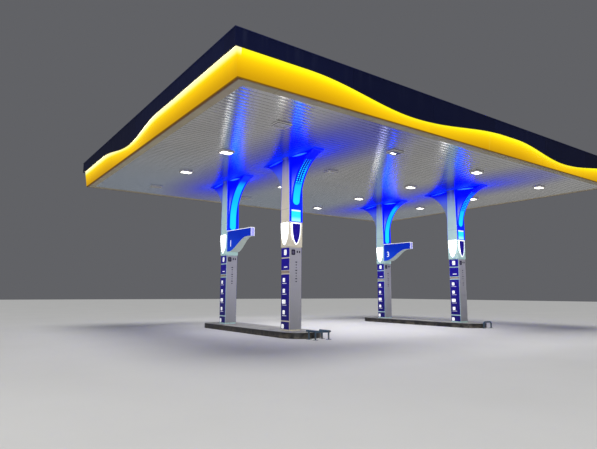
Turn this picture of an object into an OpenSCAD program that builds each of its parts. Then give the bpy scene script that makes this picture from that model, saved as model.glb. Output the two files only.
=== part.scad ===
// Filling station canopy on four clad columns, with a lit wavy fascia, two pump islands and their guards.
// Millimetres. Z is up and the ground is at zero. X runs along the long sides, and vehicles drive along Y.
// Columns 1 and 2 stand on the island at low X, columns 3 and 4 on the one at high X.

/* [Roof] */
// Length of the ceiling between the feet of the lit bands
roof_l = 18000; // [16000:100:22000]
// Width of the ceiling between the feet of the lit bands
roof_w = 13500; // [12000:100:16000]
// Clear height from the ground to the ceiling
ceiling_z = 5900; // [5600:50:6500]
// Thickness of the ceiling and of its plain border
ceiling_t = 40; // [20:5:60]
// Width of the plain border round the ceiling, with the shadow gap at its outer edge
border_w = 280; // [150:10:500]
// Width of the open shadow gap between the lit band and the border
shadow_gap = 25; // [0:5:40]
// Nearest spacing of the ceiling's panels, which run along the long sides
panel_pitch = 170; // [100:5:300]
// Width of the joint between two ceiling panels
panel_joint = 20; // [6:1:40]

/* [Fascia] */
// Height of the fascia from the ceiling to the top of its capping
fascia_h = 1050; // [1000:10:1300]
// Distance that the dark fascia stands out from the foot of the lit band
fascia_out = 150; // [130:5:250]
// Thickness of the dark fascia panels
fascia_t = 40; // [25:5:60]
// Lean of the lit band from its foot to its top
band_lean = 80; // [0:5:90]
// Thickness of the lit band
band_t = 30; // [20:5:40]
// Height of the lit band where the wave rises
crest_h = 630; // [500:10:640]
// Height of the lit band where the wave dips
dip_h = 250; // [150:10:400]

/* [Columns] */
// Distance between columns along the roof
column_pitch_x = 8800; // [8000:100:9600]
// Distance between columns across the roof
column_pitch_y = 4400; // [4000:100:5200]
// Size of the column shaft along X
shaft_w = 520; // [450:10:600]
// Size of the column shaft along Y
shaft_d = 490; // [450:10:600]
// Narrowing of each Y face of the shaft from the brackets' foot to the ceiling
shaft_taper = 50; // [0:5:80]
// Height of the foot of the shaft above the sign panels
shaft_z = 2870; // [2600:10:3000]

/* [Brackets] */
// Width of the curved bracket
bracket_w = 380; // [300:10:440]
// Reach of the bracket's full curve beyond the shaft
bracket_reach = 1450; // [1000:10:1700]
// Height at which the bracket starts to curve out
bracket_z = 4300; // [4200:10:4600]
// Width of the light strip along the curve
strip_w = 270; // [150:10:300]
// Length of the cove lights along the head of a bracket
cove_l = 800; // [400:10:1000]

/* [Islands] */
// Length of each island
island_l = 6700; // [6600:100:9000]
// Width of each island
island_w = 1400; // [1200:50:1600]
// Height of each island
island_h = 180; // [150:10:220]
// Gap in the island round the foot of a column, which a sealant closes
foot_gap = 10; // [0:1:20]
// Height of the pipe guards to their middle line
guard_z = 250; // [220:10:400]
// Pipe radius of the guards
guard_r = 30; // [20:2:40]

/* [Hidden] */

// Column places by number, as signs along X and Y
COLUMNS = [[-1, 1], [-1, -1], [1, 1], [1, -1]];
function has_flag(i) = COLUMNS[i][1] > 0;

// Levels of the roof
top_z = ceiling_z + fascia_h;
capping_t = 20;
ceiling_top = ceiling_z + ceiling_t;
girder_z = ceiling_z + 150;
girder_h = 300;
beam_z = girder_z + girder_h;
band_top_z = ceiling_z + 720;
edge_beam_h = 160;
fall = 180;
gutter_w = 400;
gutter_h = 160;
gutter_z = beam_z + 100;
gutter_t = 4;
sheet_t = 6;
sheet_gap = 20;
rail_w = 50;

// Plan of the roof
half_l = roof_l / 2;
half_w = roof_w / 2;
fascia_in = fascia_out - fascia_t;
edge_beam_w = 200;
beam_end = half_w + fascia_in - edge_beam_w;
band_foot = 10;
band_flange = 60;
band_flange_t = 20;

// The ceiling's panels fill its width, and their joints are open below
ceiling_l = roof_l - 2 * (band_foot + border_w);
ceiling_w = roof_w - 2 * (band_foot + border_w);
panels = round(ceiling_w / panel_pitch);
joint_depth = 12;

// Downlights hang in four rows of four, halfway to and past the columns
light_pitch_x = column_pitch_x / 2;
light_pitch_y = 0.735 * column_pitch_y;
light_l = 460;
light_w = 360;
light_drop = 38;
light_bevel = 15;
light_rim = 45;
lens_l = light_l - 2 * light_rim;
lens_w = light_w - 2 * light_rim;
lens_t = 8;
lens_in = 4;
housing_h = 90;
LIGHTS = [for (i = [-1.5:1:1.5]) for (j = [-1.5:1:1.5]) [i, j]];
function is_off(p) = (p[0] == -1.5 && abs(p[1]) == 1.5) || (p[0] == -0.5 && (p[1] == -0.5 || p[1] == 1.5));

// Waves of the fascia, as places along a side seen from outside and heights from 0 at a dip to 1 at a crest
LONG_WAVE = [[0, 1], [0.1, 1], [0.305, 0], [0.55, 0.95], [0.585, 0.95], [0.76, 0.02], [1, 1]];
SHORT_WAVE = [[0, 1], [0.215, 1], [0.47, 0.08], [0.66, 0.9], [1, 1]];
function ease(t) = (1 - cos(180 * t)) / 2;
function wave(stations, t, i = 0) =
    t <= stations[i + 1][0]
        ? stations[i][1] + (stations[i + 1][1] - stations[i][1])
            * ease((t - stations[i][0]) / (stations[i + 1][0] - stations[i][0]))
        : wave(stations, t, i + 1);
function wave_z(stations, t) = ceiling_z + dip_h + (crest_h - dip_h) * wave(stations, t);

// A column's own frame has its origin at the middle of its foot, and Y faces carry the brackets
plate_t = 12;
collar_t = 25;
collar_h = 50;
lower_w = 470;
lower_d = 470;
taper_z = bracket_z - 150;
function face_y(z) = shaft_d / 2 - shaft_taper * max(0, z - taper_z) / (ceiling_z - taper_z);

// The bracket's curve is a quarter of an ellipse, from upright at its foot to level at the ceiling
bracket_rise = ceiling_z - bracket_z;
bracket_end = 82;
strip_end = 79;
curve_steps = 20;
lip_w = 40;
lip_h = 30;
cove_t = 22;
cove_h = 50;
cove_end_h = 6;
cove_fall = 55;
cove_steps = 16;
function curve(a) =
    [shaft_d / 2 + plate_t + bracket_reach * (1 - cos(a)), bracket_z + bracket_rise * sin(a)];
function curve_out(a) =
    let (n = [bracket_rise * cos(a), -bracket_reach * sin(a)]) n / norm(n);

// The light strip is let into the curve, and its foot is higher on a face that has a window below it
strip_in = 8;
strip_out = 4;
strip_z = bracket_z - 20;
window_w = 380;
window_z0 = 3720;
window_z1 = 4110;
window_t = 6;
plate_z = 3700;
flag_top = 3830;
flag_plate_z = flag_top + 20;
flag_strip_z = flag_top + 50;
flag_root_h = 830;
flag_l = 1600;
shield_z = 2940;
shield_h = 740;
shield_side_w = 400;
shield_face_w = 370;
shield_t = 30;
shield_steps = 16;

// Places its children at each of the four sides, with Y pointing out of the roof and X along the side
module at_side(k)
    rotate([0, 0, [0, 90, 180, 270][k]]) children();
function side_l(k) = k % 2 == 0 ? roof_l : roof_w;
function side_y(k) = k % 2 == 0 ? half_w : half_l;
function side_wave(k) = k % 2 == 0 ? LONG_WAVE : SHORT_WAVE;

// Extrudes a drawing of Y and Z along X, centred
module along_x(l)
    rotate([90, 0, 90]) linear_extrude(l, center = true) children();

// Extrudes a drawing of X and Z along Y, from y0 to y1
module along_y(y0, y1)
    translate([0, y1, 0]) rotate([90, 0, 0]) linear_extrude(y1 - y0) children();

module ring(l, w, z, outer, inner, h)
    translate([0, 0, z]) linear_extrude(h) difference() {
        square([l + 2 * outer, w + 2 * outer], center = true);
        square([l + 2 * inner, w + 2 * inner], center = true);
    }

module soffit_border()
    color("ivory")
        ring(roof_l, roof_w, ceiling_z, -band_foot - shadow_gap, -band_foot - border_w, ceiling_t);

// Profile of the ceiling across its panels: each joint is a groove in the underside
function panel_edge(i) = -ceiling_w / 2 + ceiling_w * i / panels;
module ceiling_profile()
    polygon(concat(
        [[-ceiling_w / 2, 0]],
        [for (i = [1:panels - 1]) for (p = [[-1, 0], [-1, 1], [1, 1], [1, 0]])
            [panel_edge(i) + p[0] * panel_joint / 2, p[1] * joint_depth]],
        [[ceiling_w / 2, 0], [ceiling_w / 2, ceiling_t], [-ceiling_w / 2, ceiling_t]]
    ));

module ceiling()
    color("white") translate([0, 0, ceiling_z]) difference() {
        along_x(ceiling_l) ceiling_profile();
        translate([0, 0, -1]) linear_extrude(ceiling_t + 2) {
            for (p = LIGHTS) translate([p[0] * light_pitch_x, p[1] * light_pitch_y])
                square([lens_l, lens_w], center = true);
            for (c = COLUMNS) translate([c[0] * column_pitch_x / 2, c[1] * column_pitch_y / 2])
                square([shaft_w, 2 * face_y(ceiling_z)], center = true);
        }
    }

// Profile of a lamp's rim below the ceiling, which draws in as it goes down
module rim_profile(w)
    polygon([
        [-w / 2 + light_bevel, -light_drop], [w / 2 - light_bevel, -light_drop], [w / 2, 0], [-w / 2, 0]
    ]);

// A lamp's housing fills its hole in the ceiling, its rim covers the edge, and its lens is let into the rim
module downlight_frames()
    color("gainsboro") for (p = LIGHTS) translate([p[0] * light_pitch_x, p[1] * light_pitch_y, ceiling_z])
        difference() {
            union() {
                linear_extrude(housing_h) square([lens_l, lens_w], center = true);
                intersection() {
                    along_x(light_l) rim_profile(light_w);
                    along_y(-light_w / 2, light_w / 2) rim_profile(light_l);
                }
            }
            translate([0, 0, -light_drop]) linear_extrude(lens_in + lens_t)
                square([lens_l, lens_w], center = true);
        }

module lens(p)
    translate([p[0] * light_pitch_x, p[1] * light_pitch_y, ceiling_z - light_drop + lens_in])
        linear_extrude(lens_t) square([lens_l, lens_w], center = true);

module downlight_lenses_on()
    color("white") for (p = LIGHTS) if (!is_off(p)) lens(p);

module downlight_lenses_off()
    color("silver") for (p = LIGHTS) if (is_off(p)) lens(p);

// The lit band leans out from its foot, hangs by a flange on the border, and is mitred at the corners
module light_band(k)
    color("gold") at_side(k) translate([0, -side_y(k), 0]) mirror([0, 1, 0]) intersection() {
        along_x(side_l(k) + 2 * fascia_out) polygon([
            [0, ceiling_z], [band_lean, band_top_z], [band_lean - band_t, band_top_z],
            [-band_t, ceiling_top + band_flange_t], [-band_flange, ceiling_top + band_flange_t],
            [-band_flange, ceiling_top], [-band_foot, ceiling_top], [-band_foot, ceiling_z]
        ]);
        translate([0, 0, ceiling_z - 1]) linear_extrude(fascia_h) polygon([
            [-side_l(k) / 2 - fascia_out, fascia_out], [side_l(k) / 2 + fascia_out, fascia_out],
            [side_l(k) / 2 - 500, -500], [-side_l(k) / 2 + 500, -500]
        ]);
    }

// Points along the wave's edge, lifted by a height
function wave_points(k, l, lift, steps) =
    [for (i = [0:steps]) let (x = -l / 2 + l * i / steps)
        [x, lift + wave_z(side_wave(k), min(1, max(0, x / side_l(k) + 0.5)))]];

function wave_steps(k) = k % 2 == 0 ? 72 : 54;

// A dark fascia panel: the long sides run past the ends of the short ones
module fascia(k) {
    l = side_l(k) + 2 * (k % 2 == 0 ? fascia_out : fascia_in);
    y = side_y(k) + fascia_out;
    color("midnightblue") at_side(k) along_y(-y, -y + fascia_t) polygon(concat(
        wave_points(k, l, 0, wave_steps(k)),
        [[l / 2, top_z - capping_t], [-l / 2, top_z - capping_t]]
    ));
}

// Light strips behind the fascia, which follow the edge of its wave
module wave_light_strips()
    color("lightyellow") for (k = [0:3]) {
        l = side_l(k) + 2 * fascia_in - 100;
        y = side_y(k) + fascia_in;
        lower = wave_points(k, l, 20, wave_steps(k));
        upper = wave_points(k, l, 50, wave_steps(k));
        at_side(k) along_y(-y, -y + 20)
            polygon(concat(lower, [for (i = [len(upper) - 1:-1:0]) upper[i]]));
    }

module capping()
    color("darkslateblue")
        ring(roof_l, roof_w, top_z - capping_t, fascia_out + 15, fascia_in - 60, capping_t);

module edge_beams()
    color("lightslategray")
        ring(roof_l, roof_w, band_top_z, fascia_in, fascia_in - edge_beam_w, edge_beam_h);

// Cross beams stand on the girders, and their tops fall to the gutter in the middle
module cross_beams() {
    end_x = half_l + fascia_in - edge_beam_w - 60;
    places = [-end_x, -3 * light_pitch_x / 2, -light_pitch_x, -light_pitch_x / 2, 0,
        light_pitch_x / 2, light_pitch_x, 3 * light_pitch_x / 2, end_x];
    color("slategray") for (x = places) translate([x, 0, 0]) along_x(120) polygon([
        [-beam_end, beam_z], [beam_end, beam_z], [beam_end, band_top_z + edge_beam_h],
        [gutter_w / 2, band_top_z + edge_beam_h - fall], [gutter_w / 2, gutter_z],
        [-gutter_w / 2, gutter_z], [-gutter_w / 2, band_top_z + edge_beam_h - fall],
        [-beam_end, band_top_z + edge_beam_h]
    ]);
}

module i_section(w, h, t)
    union() {
        translate([0, t / 2]) square([w, t], center = true);
        translate([0, h - t / 2]) square([w, t], center = true);
        translate([0, h / 2]) square([t, h], center = true);
    }

// Main girders lie on the columns, one over each row
module main_girders()
    color("slategray") for (s = [-1, 1])
        translate([0, s * column_pitch_y / 2, girder_z]) along_x(roof_l - 200) i_section(220, girder_h, 20);

// Rails between the girders and the ceiling, clear of the lamps and the columns
module ceiling_rails()
    color("gray") for (i = [-3.5:1:3.5])
        translate([i * light_pitch_x / 2, 0, 0]) along_y(-half_w + 400, half_w - 400)
            translate([-rail_w / 2, ceiling_top]) square([rail_w, girder_z - ceiling_top]);

// One slope of the profiled sheet, from the fascia down to the gutter
module roof_sheet(s) {
    rib_pitch = 300;
    l = roof_l + 2 * (fascia_in - sheet_gap);
    y0 = gutter_w / 2;
    y1 = half_w + fascia_in - sheet_gap;
    slope = atan(fall / (beam_end - y0));
    ribs = floor(l / rib_pitch / 2);
    color("lightsteelblue") mirror([0, s < 0 ? 1 : 0, 0])
        translate([0, y0, band_top_z + edge_beam_h - fall]) rotate([slope, 0, 0])
            along_y(0, (y1 - y0) / cos(slope)) union() {
                translate([-l / 2, 0]) square([l, sheet_t]);
                for (i = [-ribs:ribs]) translate([i * rib_pitch, sheet_t])
                    polygon([[-45, 0], [45, 0], [20, 35], [-20, 35]]);
            }
}

module roof_gutter()
    color("gray") translate([0, 0, gutter_z]) along_x(roof_l + 2 * (fascia_in - sheet_gap)) difference() {
        translate([-gutter_w / 2, 0]) square([gutter_w, gutter_h]);
        translate([-gutter_w / 2 + gutter_t, gutter_t]) square([gutter_w - 2 * gutter_t, gutter_h]);
    }

// Places its children at a column, given its number less one
module at_column(i)
    translate([COLUMNS[i][0] * column_pitch_x / 2, COLUMNS[i][1] * column_pitch_y / 2, 0]) children();

// The shaft is plain on its X faces, with a collar under the ceiling, and its Y faces draw in as they rise
module column(i)
    color("whitesmoke") at_column(i) {
        linear_extrude(shaft_z) square([lower_w, lower_d], center = true);
        translate([0, 0, ceiling_z - collar_h]) linear_extrude(collar_h)
            square([shaft_w + 2 * collar_t, 2 * face_y(ceiling_z)], center = true);
        along_x(shaft_w) polygon([
            [-shaft_d / 2, shaft_z], [shaft_d / 2, shaft_z], [shaft_d / 2, taper_z],
            [face_y(ceiling_z), ceiling_z], [face_y(ceiling_z), girder_z],
            [-face_y(ceiling_z), girder_z], [-face_y(ceiling_z), ceiling_z], [-shaft_d / 2, taper_z]
        ]);
    }

// Points along the light strip, at a distance from the curve
function strip_points(steps, off) =
    [for (i = steps) let (a = strip_end * i / curve_steps) curve(a) + curve_out(a) * off];

// The light strip's solid on a bracket, between two distances from the curve, with a round foot
module strip(z0, from, to)
    intersection() {
        along_x(strip_w) polygon(concat(
            [[curve(0)[0] + to, z0]],
            strip_points([0:curve_steps], to),
            strip_points([curve_steps:-1:0], from),
            [[curve(0)[0] + from, z0]]
        ));
        along_y(0, shaft_d / 2 + bracket_reach + 200) union() {
            translate([0, z0 + strip_w / 2]) circle(d = strip_w, $fn = 48);
            translate([-strip_w / 2, z0 + strip_w / 2]) square([strip_w, ceiling_z - z0 - strip_w / 2]);
        }
    }

// One bracket, for the face towards +Y: a plate on the shaft, and the curved fin with a lip at its tip
module bracket(plain) {
    z0 = plain ? flag_plate_z : plate_z;
    tip = curve(bracket_end);
    difference() {
        union() {
            along_x(shaft_w) polygon([
                [shaft_d / 2, z0], [shaft_d / 2 + plate_t, z0], [shaft_d / 2 + plate_t, taper_z],
                [face_y(ceiling_z) + plate_t, ceiling_z], [face_y(ceiling_z), ceiling_z],
                [shaft_d / 2, taper_z]
            ]);
            along_x(bracket_w) polygon(concat(
                [[shaft_d / 2, taper_z], [shaft_d / 2 + plate_t, taper_z]],
                [for (i = [0:curve_steps]) curve(bracket_end * i / curve_steps)],
                [[tip[0], ceiling_z], [face_y(ceiling_z), ceiling_z]]
            ));
            along_x(bracket_w) translate([tip[0] - lip_w, ceiling_z - lip_h]) square([lip_w, lip_h]);
        }
        strip(plain ? flag_strip_z : strip_z, -strip_in, 40);
        if (!plain)
            along_y(shaft_d / 2 - 50, shaft_d / 2 + 50)
                translate([-window_w / 2, window_z0]) square([window_w, window_z1 - window_z0]);
    }
}

// Turns its children to a column's face: s is 1 for the +Y face and -1 for the -Y face
module at_face(s)
    rotate([0, 0, s > 0 ? 0 : 180]) children();

module brackets(i)
    color("royalblue") at_column(i) for (s = [-1, 1]) at_face(s) bracket(has_flag(i) && s < 0);

module arc_lights(i)
    color("cyan") at_column(i) for (s = [-1, 1]) at_face(s)
        strip(has_flag(i) && s < 0 ? flag_strip_z : strip_z, -strip_in, strip_out);

// Edge of a cove light, below its middle line for -1 and above it for 1
function cove_half(t) = (cove_end_h + (cove_h - cove_end_h) * sin(180 * t)) / 2;
function cove_edge(steps, side) =
    [for (i = steps) let (t = i / cove_steps) [cove_l * t, -cove_t - cove_fall * t + side * cove_half(t)]];

// Lens-shaped lights on both sides of each bracket's head, which fall a little from the shaft to their tip
module cove_lights()
    color("dodgerblue") for (i = [0:3]) at_column(i) for (s = [-1, 1]) at_face(s) for (x = [-1, 1])
        translate([x * (bracket_w + cove_t) / 2, shaft_d / 2 + 60, ceiling_z])
            along_x(cove_t) polygon(concat(cove_edge([0:cove_steps], -1), cove_edge([cove_steps:-1:0], 1)));

module glow_panels()
    color("paleturquoise") for (i = [0:3]) at_column(i) for (s = [-1, 1]) if (!(has_flag(i) && s < 0))
        at_face(s) along_y(shaft_d / 2, shaft_d / 2 + window_t)
            translate([-window_w / 2, window_z0]) square([window_w, window_z1 - window_z0]);

// Outline of a shield sign: a flat top, and sides that curve in to a blunt point
function shield_half(u) = pow(1 - pow(u, 2.4), 0.65) / 2;
module shield_outline(w)
    polygon(concat(
        [for (i = [0:shield_steps]) let (u = i / shield_steps) [w * shield_half(u), shield_h * (1 - u)]],
        [for (i = [shield_steps - 1:-1:0]) let (u = i / shield_steps)
            [-w * shield_half(u), shield_h * (1 - u)]]
    ));

module shield_signs()
    color("white") for (i = [0:3]) at_column(i) for (k = [0:3]) if (!(has_flag(i) && k == 2)) {
        y = k % 2 == 0 ? shaft_d / 2 : shaft_w / 2;
        rotate([0, 0, 90 * k]) along_y(y, y + shield_t) translate([0, shield_z])
            shield_outline(k % 2 == 0 ? shield_face_w : shield_side_w);
    }

// Sign panels on the X faces below the shaft, from the top down as heights of their edges
SIDE_PANELS = [[2540, 2850], [2120, 2500], [2020, 2095], [500, 1980], [220, 460]];
module side_panels()
    color("navy") for (i = [0:3]) at_column(i) for (s = [-1, 1]) rotate([0, 0, 90 * s])
        for (p = SIDE_PANELS) along_y(lower_w / 2, lower_w / 2 + plate_t)
            translate([-lower_d / 2 + 10, p[0]]) square([lower_d - 20, p[1] - p[0]]);

module face_panels()
    color("lightgray") for (i = [0:3]) at_column(i) for (s = [-1, 1]) at_face(s)
        along_y(lower_d / 2, lower_d / 2 + plate_t)
            translate([-lower_w / 2 + 8, 220]) square([lower_w - 16, 2630]);

// A number flag: a wing in elevation and in plan, with a level top, which thins to its tip
flag_root_w = 460;
flag_tip_w = 150;
flag_tip_h = 320;
function flag_low(u) = flag_root_h + (flag_tip_h - flag_root_h) * ease(min(1, max(0, (u - 0.06) / 0.78)));
module flag(i)
    color("mediumblue") at_column(i) intersection() {
        translate([0, -shaft_d / 2, 0]) mirror([0, 1, 0]) along_x(shaft_w) polygon(concat(
            [for (j = [0:24]) let (u = j / 24) [flag_l * u, flag_top - flag_low(u)]],
            [[flag_l, flag_top], [0, flag_top]]
        ));
        translate([0, 0, shield_z]) linear_extrude(1000) polygon([
            [-flag_root_w / 2, -shaft_d / 2], [flag_root_w / 2, -shaft_d / 2],
            [flag_tip_w / 2, -shaft_d / 2 - flag_l], [-flag_tip_w / 2, -shaft_d / 2 - flag_l]
        ]);
    }

// Plan of an island with round ends
module island_plan(l, w)
    union() {
        square([w, l - w], center = true);
        for (s = [-1, 1]) translate([0, s * (l - w) / 2]) circle(d = w, $fn = 96);
    }

// An island is cast round the feet of its two columns
kerb_t = 12;
module island(s)
    color("darkgray") translate([s * column_pitch_x / 2, 0, 0]) linear_extrude(island_h) difference() {
        island_plan(island_l - 2 * kerb_t, island_w - 2 * kerb_t);
        for (y = [-1, 1]) translate([0, y * column_pitch_y / 2])
            square([lower_w + 2 * foot_gap, lower_d + 2 * foot_gap], center = true);
    }

module island_kerbs()
    color("dimgray") for (s = [-1, 1]) translate([s * column_pitch_x / 2, 0, 0])
        linear_extrude(island_h) difference() {
            island_plan(island_l, island_w);
            island_plan(island_l - 2 * kerb_t, island_w - 2 * kerb_t);
        }

// Both guards have a bar across the island's end, bent at both ends: down to its legs on one guard, and
// back towards the island on the other, whose arms stand on two legs each
guard_half = 250;
guard_bend = 90;
guard_arm = 560;
guard_leg_y = [130, 450];
guard_leg_r = guard_r - 4;
guard_foot = 120;
guard_foot_t = 8;
guard_bar_out = 180;
guard_frame_out = 600;
module pipe(l) cylinder(r = guard_r, h = l, $fn = 32);

// The bar with its bends, drawn flat, with its ends towards +Y
module guard_bow()
    union() {
        translate([-guard_half + guard_bend, 0, 0]) rotate([0, 90, 0]) pipe(2 * (guard_half - guard_bend));
        for (s = [-1, 1])
            translate([s * (guard_half - guard_bend), guard_bend, 0]) rotate([0, 0, s > 0 ? 270 : 180])
                rotate_extrude(angle = 90, $fn = 96) translate([guard_bend, 0]) circle(r = guard_r, $fn = 32);
    }

module guard_foot_plate()
    translate([-guard_foot / 2, -guard_foot / 2, 0]) cube([guard_foot, guard_foot, guard_foot_t]);

module guard_bar()
    union() {
        translate([0, 0, guard_z]) rotate([-90, 0, 0]) guard_bow();
        for (s = [-1, 1]) translate([s * guard_half, 0, 0]) {
            pipe(guard_z - guard_bend);
            guard_foot_plate();
        }
    }

module guard_frame()
    union() {
        translate([0, 0, guard_z]) guard_bow();
        for (s = [-1, 1]) {
            translate([s * guard_half, guard_bend, guard_z]) rotate([-90, 0, 0])
                pipe(guard_arm - guard_bend);
            for (y = guard_leg_y) translate([s * guard_half, y, 0]) {
                cylinder(r = guard_leg_r, h = guard_z, $fn = 32);
                guard_foot_plate();
            }
        }
    }

// One guard stands beyond the front end of each island
module guards()
    color("slategray") {
        translate([-column_pitch_x / 2, -island_l / 2 - guard_frame_out, 0]) guard_frame();
        translate([column_pitch_x / 2, -island_l / 2 - guard_bar_out, 0]) guard_bar();
    }

soffit_border();
ceiling();
downlight_frames();
downlight_lenses_on();
downlight_lenses_off();
light_band(0);  // light_band_front
light_band(1);  // light_band_right
light_band(2);  // light_band_back
light_band(3);  // light_band_left
fascia(0);  // fascia_front
fascia(1);  // fascia_right
fascia(2);  // fascia_back
fascia(3);  // fascia_left
wave_light_strips();
capping();
edge_beams();
cross_beams();
main_girders();
ceiling_rails();
roof_sheet(-1);  // roof_sheet_front
roof_sheet(1);  // roof_sheet_back
roof_gutter();
for (i = [0:3]) {
    column(i);
    brackets(i);
    arc_lights(i);
}
cove_lights();
glow_panels();
shield_signs();
side_panels();
face_panels();
flag(0);  // flag_1
flag(2);  // flag_3
island(-1);  // island_left
island(1);  // island_right
island_kerbs();
guards();
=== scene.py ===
# The looks of a filling station canopy: finishes for its solids, and fine pieces that stand for some of them.
# Metres, in the frame of the solids: the ground at zero, Z up, the front towards -Y, lanes along Y.
import random
from itertools import product
from math import asin, atan2, ceil, copysign, cos, degrees, pi, radians, sin, sqrt

import bmesh
import bpy
from mathutils import Matrix, Quaternion, Vector


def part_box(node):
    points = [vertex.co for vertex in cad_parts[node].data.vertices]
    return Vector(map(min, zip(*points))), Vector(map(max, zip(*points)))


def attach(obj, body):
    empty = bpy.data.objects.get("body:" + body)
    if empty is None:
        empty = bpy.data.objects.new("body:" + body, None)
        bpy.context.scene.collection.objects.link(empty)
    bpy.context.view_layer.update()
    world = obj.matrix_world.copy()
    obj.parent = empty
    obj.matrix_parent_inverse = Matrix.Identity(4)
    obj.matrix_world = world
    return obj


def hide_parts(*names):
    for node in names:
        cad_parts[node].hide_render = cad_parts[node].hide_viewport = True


scene = bpy.context.scene
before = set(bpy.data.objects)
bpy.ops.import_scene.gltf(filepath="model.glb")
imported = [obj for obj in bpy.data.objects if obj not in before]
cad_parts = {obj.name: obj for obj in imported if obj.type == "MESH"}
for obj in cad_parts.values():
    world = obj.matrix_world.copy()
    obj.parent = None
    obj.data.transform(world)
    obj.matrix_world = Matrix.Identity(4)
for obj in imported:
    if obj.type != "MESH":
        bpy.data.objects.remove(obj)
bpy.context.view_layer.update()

# The camera of the photograph, fitted to the edges of the ceiling and to the columns
IMAGE_W = 597
FOCAL_PX = 490.6
SENSOR_W = 36
EYE = Vector((-13.695, -15.522, 1.367))
YAW, PITCH, ROLL = radians(54.289), radians(7.996), radians(0.239)

# Levels and plan of the roof, with its lit band and its fascia
CEILING_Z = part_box("ceiling")[0].z
BAND_LEAN, BAND_THICK, BAND_ROWS, BAND_GAP = 0.08, 0.03, 9, 0.003
BAND_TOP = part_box("light_band_front")[1].z
HALF_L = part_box("light_band_right")[1].x - BAND_LEAN
HALF_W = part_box("light_band_back")[1].y - BAND_LEAN
FASCIA_OUT, FASCIA_IN, FASCIA_GAP = 0.15, 0.11, 0.006
FASCIA_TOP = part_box("fascia_front")[1].z

# Sheets round the roof: their length, and the place of one joint
SHEET_L, SHEET_START = 3.05, 0.27

# Waves of the fascia along a side seen from outside: places from 0 to 1, and heights from dip to crest
LONG_WAVE = [(0, 1), (0.1, 1), (0.305, 0), (0.55, 0.95), (0.585, 0.95), (0.76, 0.02), (1, 1)]
SHORT_WAVE = [(0, 1), (0.215, 1), (0.47, 0.08), (0.66, 0.9), (1, 1)]
DIP, CREST = 0.25, 0.63

# Panels of the ceiling: gap between two, rise of a face towards its edges, and height of the turned-up edges
PANEL_COUNT = 76
PANEL_GAP, PANEL_CROWN, PANEL_UP = 0.013, 0.002, 0.018
# Slopes that their reflections show: all over, and from one side of a panel to the other
PANEL_LEAN, PANEL_CURL = 0.045, 0.09

# Columns: width and depth of the shaft, its depth at the ceiling, side of the square part below, and joints
COLUMN_X = sum(v.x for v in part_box("column_4")) / 2
COLUMN_Y = sum(v.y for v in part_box("column_1")) / 2
COLUMNS = {
    1: (-COLUMN_X, COLUMN_Y),
    2: (-COLUMN_X, -COLUMN_Y),
    3: (COLUMN_X, COLUMN_Y),
    4: (COLUMN_X, -COLUMN_Y),
}
SHAFT_W, SHAFT_D, TOP_D, LOWER = 0.52, 0.49, 0.39, 0.47
SHAFT_JOINTS = (2.874, 4.14)

# Brackets on the Y faces of the columns: plate, curve, fin, and the light strip up to an angle of the curve
PLATE = 0.012
CURVE_Z, CURVE_REACH = 4.3, 1.45
CURVE_RISE = CEILING_Z - CURVE_Z
FIN_W, STRIP_W, STRIP_END = 0.38, 0.27, 79
STRIP_FOOT, FLAG_STRIP_FOOT = 4.28, 3.88
LENS_RIM, LENS_CROWN, LENS_BACK = 0.004, 0.008, -0.007
LENS_STRENGTH = 8.0

# Light modules on a strip: rows across it, pitch, first and last angle of the curve, and size
LED_ROWS, LED_PITCH = (-0.1, -0.015, 0.07), 0.07
LED_FROM, LED_TO = 27, 62
LED_RADIUS, LED_HEIGHT = 0.019, 0.007

# Light bars beside the heads of the brackets, and the pace at which the painted wash of their blue light
# fades across and along
COVE_FROM, COVE_TO, COVE_DEPTH = 0.305, 1.105, 0.05
COVE_MIDDLE, COVE_HALF = (COVE_FROM + COVE_TO) / 2, (COVE_TO - COVE_FROM) / 2
WASH_ACROSS, WASH_ALONG = 1.45, 0.62

# Shields, and the flags on the -Y faces of two columns
SHIELD_Z, SHIELD_H, SHIELD_W, SHIELD_T = 2.94, 0.74, 0.37, 0.03
FLAGGED = (1, 3)
FLAG_L, FLAG_TOP, FLAG_ROOT_W, FLAG_TIP_W, FLAG_TIP_H = 1.6, 3.83, 0.46, 0.15, 0.32

# Lamps of the ceiling stand in a grid of four by four
LAMP_X, LAMP_Y = COLUMN_X / 2, COLUMN_Y * 0.735
LAMP_HALF_L, LAMP_HALF_W = 0.185, 0.135
LAMP_PLACES = [(i, j) for i in (-3, -1, 1, 3) for j in (-3, -1, 1, 3)]
UNLIT = [(-3, -3), (-3, 3), (-1, -1), (-1, 3)]
FAILING = (-1, -3)

# Guards: half their width, places of their legs, and bolts round each
GUARD_HALF_W = 0.25
GUARD_LEGS = ((-COLUMN_X, (-3.82, -3.50)), (COLUMN_X, (-3.53,)))
BOLT_OUT, BOLT_BASE = 0.044, 0.008


def math_node(operation, swapped=False):
    """A method that joins two values in a Math node, swapped where a plain number comes first."""
    if swapped:
        return lambda self, other: self.math(operation, other, self)
    return lambda self, other: self.math(operation, self, other)


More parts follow.
